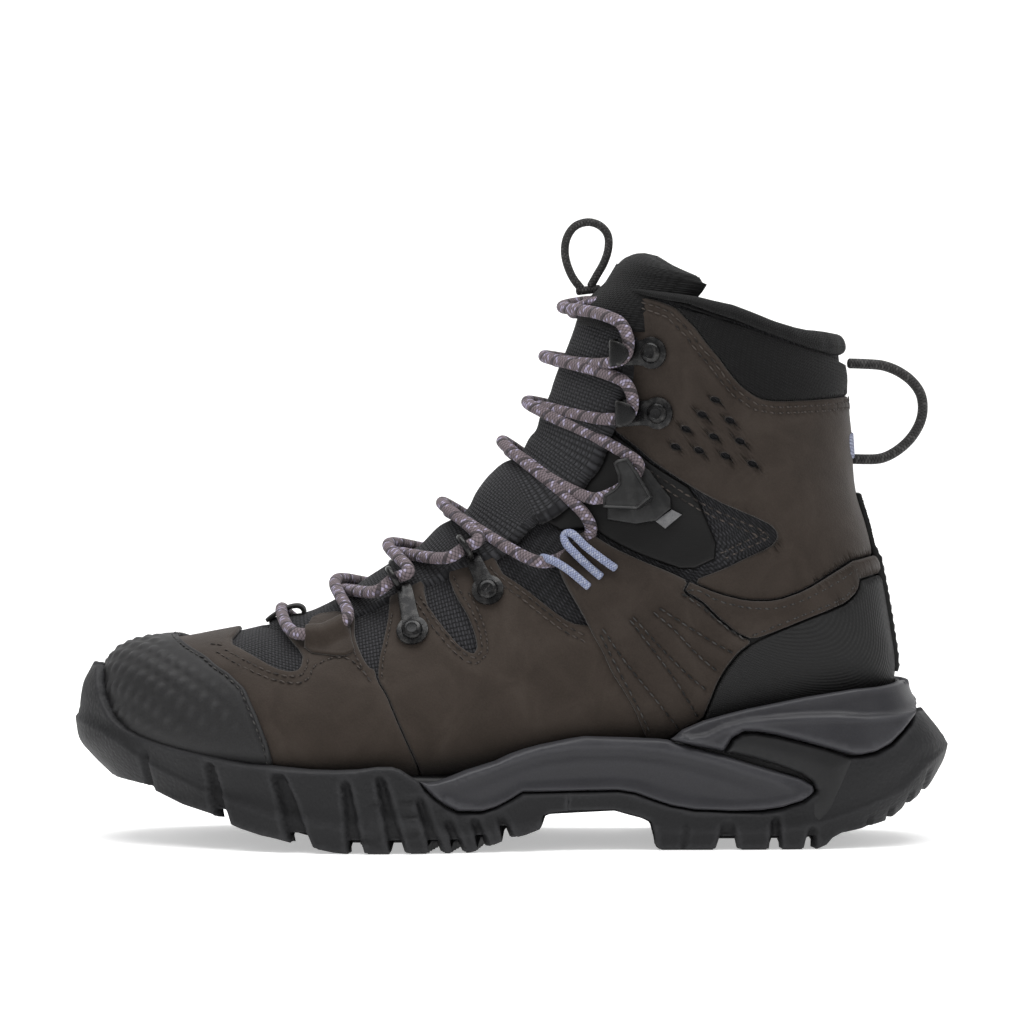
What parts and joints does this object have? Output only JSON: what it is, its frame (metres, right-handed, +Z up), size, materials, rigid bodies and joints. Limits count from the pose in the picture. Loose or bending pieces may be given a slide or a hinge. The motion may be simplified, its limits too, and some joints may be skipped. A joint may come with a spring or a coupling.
{
  "type": "hiking boot",
  "caption": "Mid-height lace-up hiking boot for the left foot, with a lugged rubber sole, a padded collar and tongue, lace hooks and pull loops that swing.",
  "frame": {"origin": "centre of the bounding box in plan, on the ground under the tread", "axes": "+X from the toe to the heel, +Y towards the inner side of the foot, +Z up"},
  "size_m": [0.298, 0.1102, 0.2145],
  "materials": {
    "sole_rubber": "moulded, fine stipple",
    "cap_rubber": "moulded with a field of small bumps",
    "midsole_foam": "moulded foam, satin skin",
    "bootie_mesh": "padded knitted mesh",
    "board": "fibre board",
    "footbed_foam": "foam with a fabric cover",
    "spring_steel": "plain strip",
    "nubuck": "nubuck",
    "counter_film": "fine woven emboss",
    "blue_webbing": "smooth braid",
    "black_webbing": "woven webbing",
    "lace_braid": "round braid with flecks",
    "hard_plastic": "moulded, satin",
    "black_metal": "black coating, gloss"
  },
  "bodies": {
    "boot": {"ankle_panel_inner": "nubuck", "ankle_panel_outer": "nubuck", "blue_cord_hairpin_inner": "blue_webbing", "blue_cord_hairpin_outer": "blue_webbing", "blue_cord_single_inner": "blue_webbing", "blue_cord_single_outer": "blue_webbing", "bootie": "bootie_mesh", "collar_padding": "bootie_mesh", "collar_roll": "bootie_mesh", "facing_inner": "counter_film", "facing_outer": "counter_film", "footbed": "footbed_foam", "heel_band_inner": "nubuck", "heel_band_outer": "nubuck", "heel_counter_cover": "counter_film", "heel_cradle": "midsole_foam", "heel_spine": "counter_film", "heel_stiffener": "board", "heel_tab": "blue_webbing", "insole_board": "board", "lace": "lace_braid", "lace_ring_1_inner": "black_metal", "lace_ring_1_outer": "black_metal", "lace_ring_2_inner": "black_metal", "lace_ring_2_outer": "black_metal", "lace_tip_1": "hard_plastic", "lace_tip_2": "hard_plastic", "lace_tunnel_inner": "nubuck", "lace_tunnel_outer": "nubuck", "lock_hook_inner": "hard_plastic", "lock_hook_outer": "hard_plastic", "midsole": "midsole_foam", "outsole": "sole_rubber", "quarter_inner": "nubuck", "quarter_outer": "nubuck", "ring_rivet_1_inner": "black_metal", "ring_rivet_1_outer": "black_metal", "ring_rivet_2_inner": "black_metal", "ring_rivet_2_outer": "black_metal", "saddle_inner": "nubuck", "saddle_outer": "nubuck", "shank": "spring_steel", "speed_hook_1_inner": "black_metal", "speed_hook_1_outer": "black_metal", "speed_hook_2_inner": "black_metal", "speed_hook_2_outer": "black_metal", "speed_rivet_1_inner": "black_metal", "speed_rivet_1_outer": "black_metal", "speed_rivet_2_inner": "black_metal", "speed_rivet_2_outer": "black_metal", "throat_loop": "black_webbing", "toe_cap": "cap_rubber", "toe_puff": "board", "tongue": "bootie_mesh", "vamp": "nubuck"},
    "heel_pull": {"heel_loop": "black_webbing"},
    "tongue_pull": {"tongue_loop": "black_webbing"}
  },
  "joints": [
    {"name": "heel_loop_swing", "type": "hinge", "parent": "boot", "child": "heel_pull", "pos_m": [0.1189, 0.0006, 0.1644], "axis": [-0.0665, 0, 0.9978], "range_deg": [-60, 60], "stiffness_Nm_per_rad": 0.01},
    {"name": "tongue_loop_swing", "type": "hinge", "parent": "boot", "child": "tongue_pull", "pos_m": [0.0256, 0, 0.191], "axis": [0, -1, 0], "range_deg": [0, 40], "stiffness_Nm_per_rad": 0.01}
  ]
}
